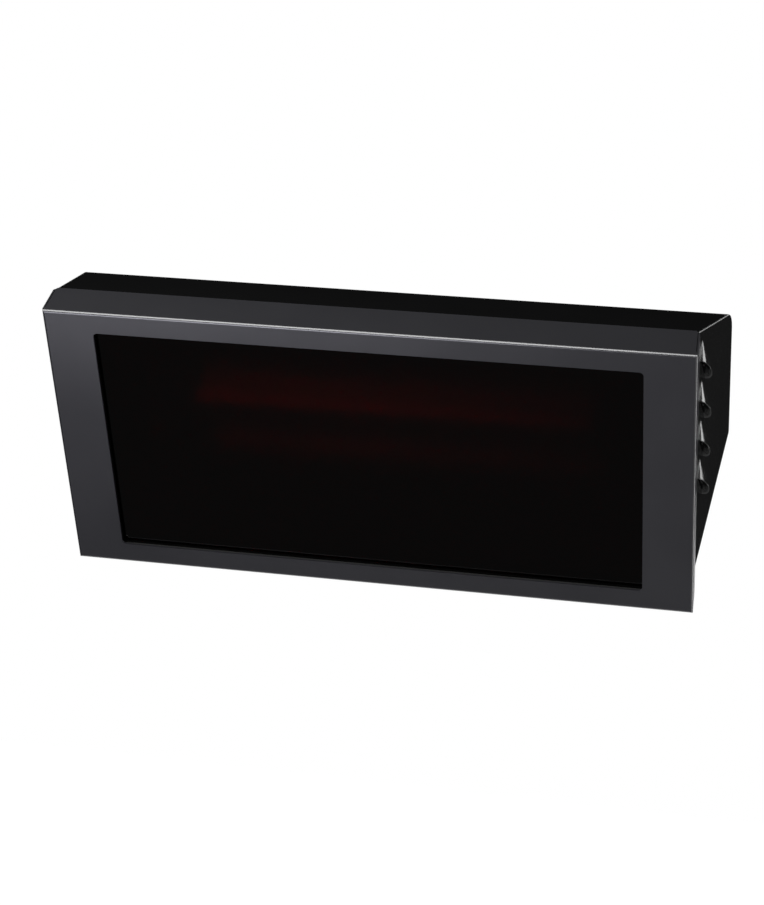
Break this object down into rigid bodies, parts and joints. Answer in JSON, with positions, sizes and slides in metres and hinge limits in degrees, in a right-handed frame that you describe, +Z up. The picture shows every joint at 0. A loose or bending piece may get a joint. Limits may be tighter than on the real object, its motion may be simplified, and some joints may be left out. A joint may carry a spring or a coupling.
{
  "type": "halogen heater",
  "caption": "Wall-hung halogen heater: wide dark frame round a black glass window, sloping sheet-metal body with louvred flared cheeks, on a tilting bracket.",
  "frame": {"origin": "middle of the wall bracket's back face, on the wall", "axes": "+X along the heater, +Y into the wall, +Z up; the glass faces -Y"},
  "size_m": [0.6288, 0.228, 0.2853],
  "materials": {
    "frame_paint": "satin anthracite paint",
    "body_paint": "satin black paint",
    "bracket_paint": "fine-textured black powder coat",
    "dark_glass": "polished black glass-ceramic",
    "seal_rubber": "matt silicone",
    "plated_steel": "zinc plated",
    "sheet_steel": "galvanised sheet",
    "mirror_aluminium": "polished",
    "quartz": "clear quartz with a ruby coat",
    "tungsten": "dull red glow",
    "ceramic": "matt steatite",
    "lead_sleeve": "silicone sleeve",
    "block_plastic": "moulded",
    "gland_plastic": "moulded nylon",
    "knob_plastic": "moulded, fluted",
    "stud_brass": "turned"
  },
  "bodies": {
    "wall_mount": {"wall_bracket": "bracket_paint", "pivot_bolts": "plated_steel", "pivot_nuts": "plated_steel", "pivot_washers": "gland_plastic"},
    "heater": {"front_frame": "frame_paint", "glass_gasket": "seal_rubber", "glass_panel": "dark_glass", "glass_retainer_top": "sheet_steel", "glass_retainer_bottom": "sheet_steel", "retainer_nuts": "plated_steel", "rear_housing": "body_paint", "cheek_right": "body_paint", "cheek_left": "body_paint", "frame_screws": "plated_steel", "cheek_screws": "plated_steel", "reflector": "mirror_aluminium", "reflector_end_right": "sheet_steel", "reflector_end_left": "sheet_steel", "end_screws": "plated_steel", "heat_shield": "sheet_steel", "shield_spacers": "plated_steel", "shield_bolts": "plated_steel", "shield_nuts": "plated_steel", "lamp_tube": "quartz", "lamp_filament": "tungsten", "lamp_cap_right": "ceramic", "lamp_cap_left": "ceramic", "lamp_holder_right": "ceramic", "lamp_holder_left": "ceramic", "holder_screws": "plated_steel", "terminal_block": "block_plastic", "block_screws": "plated_steel", "terminal_screws": "plated_steel", "lead_live": "lead_sleeve", "lead_neutral": "lead_sleeve", "earth_stud": "stud_brass", "earth_nut": "stud_brass", "gland_body": "gland_plastic", "gland_locknut": "gland_plastic", "gland_seal": "seal_rubber", "gland_nut": "gland_plastic", "tilt_yoke": "bracket_paint", "yoke_bolts": "plated_steel", "yoke_nuts": "plated_steel", "clamp_bolts": "plated_steel", "clamp_knobs": "knob_plastic"}
  },
  "joints": [
    {"name": "tilt", "type": "hinge", "parent": "wall_mount", "child": "heater", "pos_m": [0, -0.035, 0], "axis": [1, 0, 0], "range_deg": [0, 45]}
  ]
}
